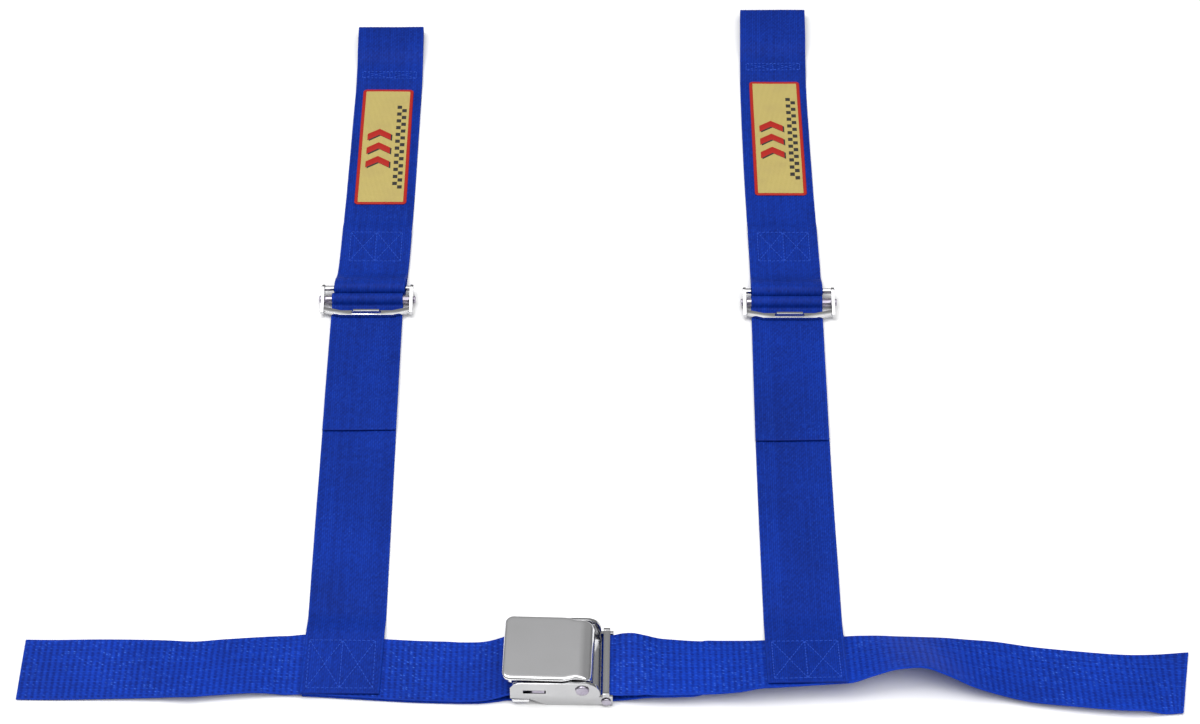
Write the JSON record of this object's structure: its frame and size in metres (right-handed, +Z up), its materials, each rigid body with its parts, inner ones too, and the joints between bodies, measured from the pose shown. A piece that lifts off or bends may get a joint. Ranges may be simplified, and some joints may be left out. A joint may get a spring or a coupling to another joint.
{
  "type": "racing harness",
  "caption": "Lap belt and shoulder straps of flat woven webbing with a lift-lever buckle, slide adjusters and sewn mounting loops, laid out flat.",
  "frame": {"origin": "under the middle of the buckle, on the surface the harness lies on", "axes": "+X along the lap belt, towards the buckle side; +Y along the shoulder straps, towards their mounting loops; +Z up"},
  "size_m": [0.76, 0.7143, 0.0245],
  "materials": {
    "chrome": "bright chrome plate on pressed steel",
    "plated_steel": "dull zinc plate",
    "webbing": "flat woven polyester webbing, blue",
    "thread": "bonded polyester thread, blue",
    "label_cloth": "woven label, yellow with a red border"
  },
  "bodies": {
    "buckle": {"buckle_frame": "chrome", "pivot_pin": "plated_steel", "webbing_bar": "plated_steel", "tongue_guide": "plated_steel", "lever_spring": "plated_steel"},
    "lever": {"lever_cover": "chrome", "latch_hook": "plated_steel"},
    "tongue": {"tongue": "chrome"},
    "lap_left": {"lap_webbing_left": "webbing", "lower_strap_left": "webbing", "lap_seam_left": "thread"},
    "slide_bar_left": {"slide_bar_left": "plated_steel"},
    "adjuster_left": {"adjuster_frame_left": "chrome"},
    "upper_left": {"upper_strap_left": "webbing", "adjuster_seam_left": "thread", "loop_seam_left": "thread", "label_left": "label_cloth"},
    "lap_right": {"lap_webbing_right": "webbing", "lower_strap_right": "webbing", "lap_seam_right": "thread"},
    "slide_bar_right": {"slide_bar_right": "plated_steel"},
    "adjuster_right": {"adjuster_frame_right": "chrome"},
    "upper_right": {"upper_strap_right": "webbing", "adjuster_seam_right": "thread", "loop_seam_right": "thread", "label_right": "label_cloth"}
  },
  "joints": [
    {"name": "lever_lift", "type": "hinge", "parent": "buckle", "child": "lever", "pos_m": [0.021, -0.00029, 0.0152], "axis": [0.014, 0.9999, 0], "range_deg": [0, 85], "stiffness_Nm_per_rad": 0.03, "springref_deg": -34.38},
    {"name": "tongue_release", "type": "slide", "parent": "buckle", "child": "tongue", "axis": [-0.9999, 0.014, 0], "range_m": [0, 0.0386]},
    {"name": "lap_left_swing", "type": "hinge", "parent": "tongue", "child": "lap_left", "pos_m": [-0.0215, 0.0003, 0.0037], "axis": [0.014, 0.9999, 0], "range_deg": [0, 35]},
    {"name": "lap_right_swing", "type": "hinge", "parent": "buckle", "child": "lap_right", "pos_m": [0.0365, -0.00051, 0.004], "axis": [-0.014, -0.9999, 0], "range_deg": [0, 20]},
    {"name": "adjuster_left_tilt", "type": "hinge", "parent": "lap_left", "child": "slide_bar_left", "pos_m": [-0.137, 0.3435, 0.0047], "axis": [-1, 0, 0], "range_deg": [0, 8]},
    {"name": "adjuster_left_clamp", "type": "slide", "parent": "slide_bar_left", "child": "adjuster_left", "axis": [0, 1, 0], "range_m": [0, 0.002]},
    {"name": "upper_left_fold", "type": "hinge", "parent": "lap_left", "child": "upper_left", "pos_m": [-0.137, 0.3545, 0.0054], "axis": [1, 0, 0], "range_deg": [0, 80]},
    {"name": "adjuster_right_tilt", "type": "hinge", "parent": "lap_right", "child": "slide_bar_right", "pos_m": [0.169, 0.3405, 0.0047], "axis": [-1, 0, 0], "range_deg": [0, 8]},
    {"name": "adjuster_right_clamp", "type": "slide", "parent": "slide_bar_right", "child": "adjuster_right", "axis": [0, 1, 0], "range_m": [0, 0.002]},
    {"name": "upper_right_fold", "type": "hinge", "parent": "lap_right", "child": "upper_right", "pos_m": [0.169, 0.3515, 0.0054], "axis": [1, 0, 0], "range_deg": [0, 80]}
  ],
  "couplings": [
    {"joint": "tongue_release", "follows": "lever_lift", "m_per_rad": 0.026}
  ]
}
